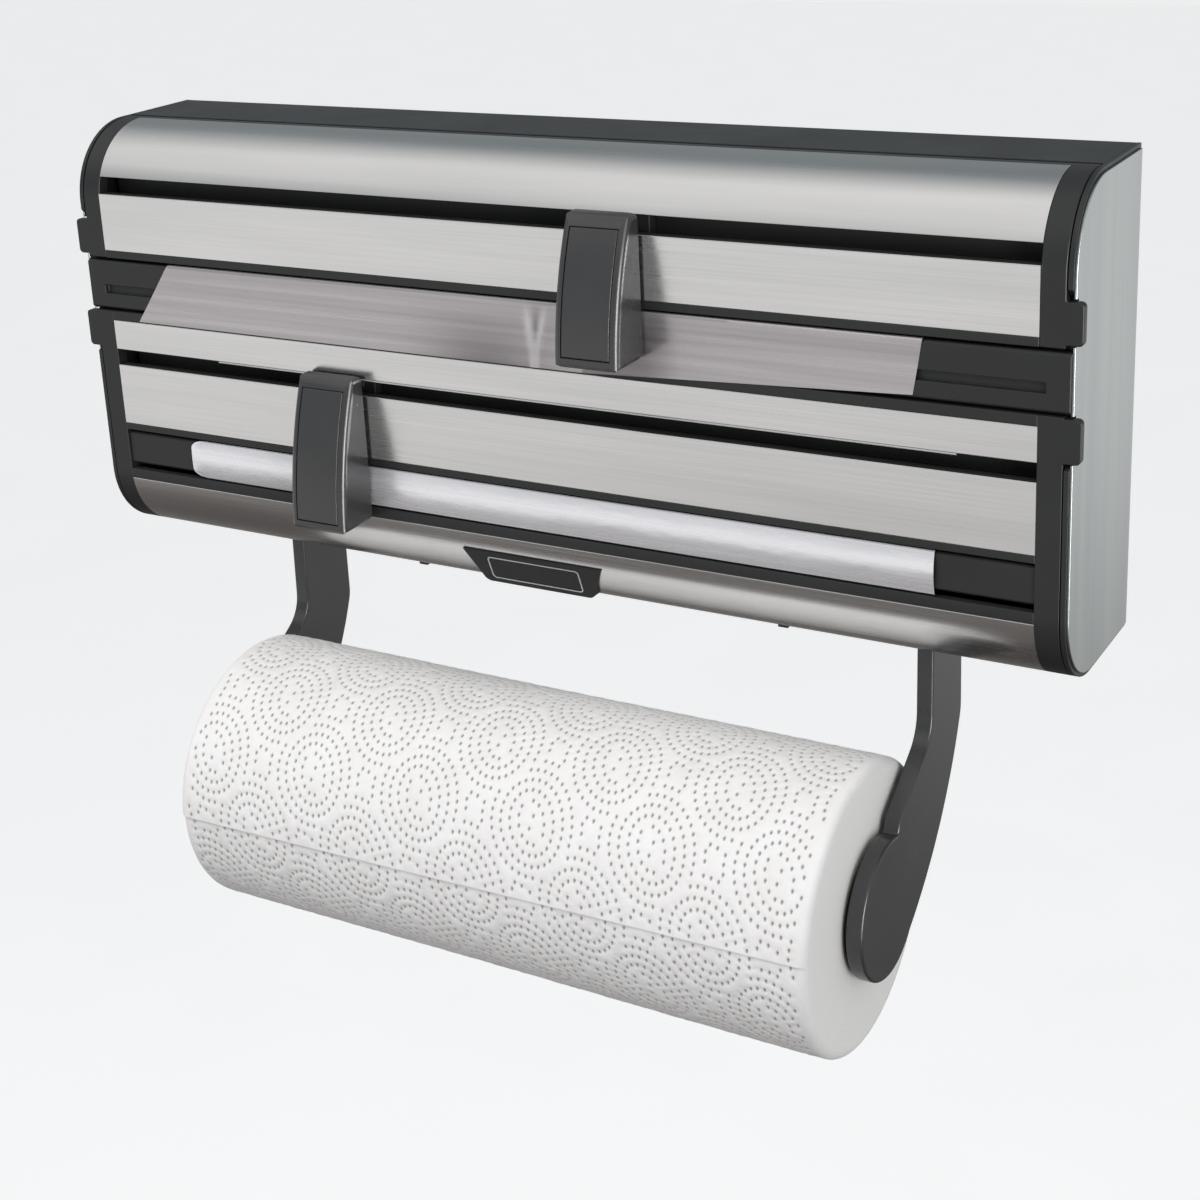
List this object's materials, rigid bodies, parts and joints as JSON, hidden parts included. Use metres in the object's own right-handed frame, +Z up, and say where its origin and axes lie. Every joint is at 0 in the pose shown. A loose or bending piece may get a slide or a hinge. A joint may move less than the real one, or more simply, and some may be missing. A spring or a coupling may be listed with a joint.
{
  "type": "wall roll holder",
  "caption": "Wall-mounted kitchen holder for cling film, foil and kitchen roll: brushed flaps with sliding cutters, roll carried on swan-neck arms below.",
  "frame": {"origin": "centre of the four wall-screw holes, on the back face of the housing", "axes": "+X along the width, +Y out of the back face into the wall, +Z up"},
  "size_m": [0.391, 0.122, 0.302],
  "materials": {
    "band_steel": "horizontally brushed",
    "side_skin": "vertically brushed satin",
    "pin_steel": "plain",
    "grey_plastic": "fine grain",
    "satin_plastic": "satin",
    "channel_black": "matte",
    "cling_film": "clear with fine streaks",
    "foil": "bright rolled",
    "kitchen_paper": "embossed",
    "cardboard": "plain"
  },
  "bodies": {
    "housing": {"back_panel": "grey_plastic", "bottom_shelf": "grey_plastic", "cutting_beam": "grey_plastic", "divider_shelf": "grey_plastic", "film_roll_brackets": "grey_plastic", "film_tail": "cling_film", "foil_roll_brackets": "grey_plastic", "hinge_pins": "pin_steel", "left_cheek": "grey_plastic", "left_foot_guides": "grey_plastic", "left_side_panel": "side_skin", "right_cheek": "grey_plastic", "right_foot_guides": "grey_plastic", "right_side_panel": "side_skin", "top_shelf": "grey_plastic"},
    "upper_flap": {"upper_curved_backing": "grey_plastic", "upper_curved_panel": "band_steel", "upper_face_backing": "grey_plastic", "upper_face_panel": "band_steel", "upper_flap_left_frame": "grey_plastic", "upper_flap_right_frame": "grey_plastic", "upper_hinge_barrel": "grey_plastic", "upper_slide_channel": "channel_black"},
    "upper_cutter": {"upper_cutter_blade": "pin_steel", "upper_cutter_inlay": "satin_plastic", "upper_cutter_shell": "satin_plastic", "upper_cutter_shoe": "channel_black"},
    "lower_flap": {"blank_badge": "grey_plastic", "foil_bar": "grey_plastic", "foil_tail": "foil", "lower_curved_backing": "grey_plastic", "lower_curved_panel": "band_steel", "lower_face_backing": "grey_plastic", "lower_face_panel": "band_steel", "lower_flap_left_frame": "grey_plastic", "lower_flap_right_frame": "grey_plastic", "lower_hinge_barrel": "grey_plastic", "lower_rail_lip": "band_steel", "lower_slide_channel": "channel_black", "lower_top_backing": "grey_plastic", "lower_top_panel": "band_steel"},
    "lower_cutter": {"lower_cutter_blade": "pin_steel", "lower_cutter_inlay": "satin_plastic", "lower_cutter_shell": "satin_plastic", "lower_cutter_shoe": "channel_black"},
    "left_arm_body": {"left_arm": "satin_plastic", "left_arm_foot": "grey_plastic", "left_arm_hub": "grey_plastic"},
    "right_arm_body": {"right_arm": "satin_plastic", "right_arm_foot": "grey_plastic", "right_arm_hub": "grey_plastic"},
    "kitchen_roll": {"kitchen_roll_core": "cardboard", "kitchen_roll_paper": "kitchen_paper"},
    "film_roll": {"film_roll_core": "cardboard", "film_roll_winding": "cling_film"},
    "foil_roll": {"foil_roll_core": "cardboard", "foil_roll_winding": "foil"}
  },
  "joints": [
    {"name": "upper_flap_hinge", "type": "hinge", "parent": "housing", "child": "upper_flap", "pos_m": [0, -0.037, 0.079], "axis": [-1, 0, 0], "range_deg": [0, 75]},
    {"name": "lower_flap_hinge", "type": "hinge", "parent": "housing", "child": "lower_flap", "pos_m": [0, -0.037, -0.079], "axis": [1, 0, 0], "range_deg": [0, 60]},
    {"name": "upper_cutter_slide", "type": "slide", "parent": "upper_flap", "child": "upper_cutter", "axis": [1, 0, 0], "range_m": [-0.205, 0.129]},
    {"name": "lower_cutter_slide", "type": "slide", "parent": "lower_flap", "child": "lower_cutter", "axis": [1, 0, 0], "range_m": [-0.0895, 0.2445]},
    {"name": "left_arm_slide", "type": "slide", "parent": "housing", "child": "left_arm_body", "axis": [-1, 0, 0], "range_m": [0, 0.02]},
    {"name": "right_arm_slide", "type": "slide", "parent": "housing", "child": "right_arm_body", "axis": [1, 0, 0], "range_m": [0, 0.02]},
    {"name": "kitchen_roll_spin", "type": "hinge", "parent": "housing", "child": "kitchen_roll", "pos_m": [0, -0.07, -0.1685], "axis": [1, 0, 0], "continuous": true},
    {"name": "film_roll_spin", "type": "hinge", "parent": "housing", "child": "film_roll", "pos_m": [0, -0.03, 0.0505], "axis": [1, 0, 0], "continuous": true},
    {"name": "foil_roll_spin", "type": "hinge", "parent": "housing", "child": "foil_roll", "pos_m": [0, -0.03, -0.024], "axis": [1, 0, 0], "continuous": true}
  ]
}
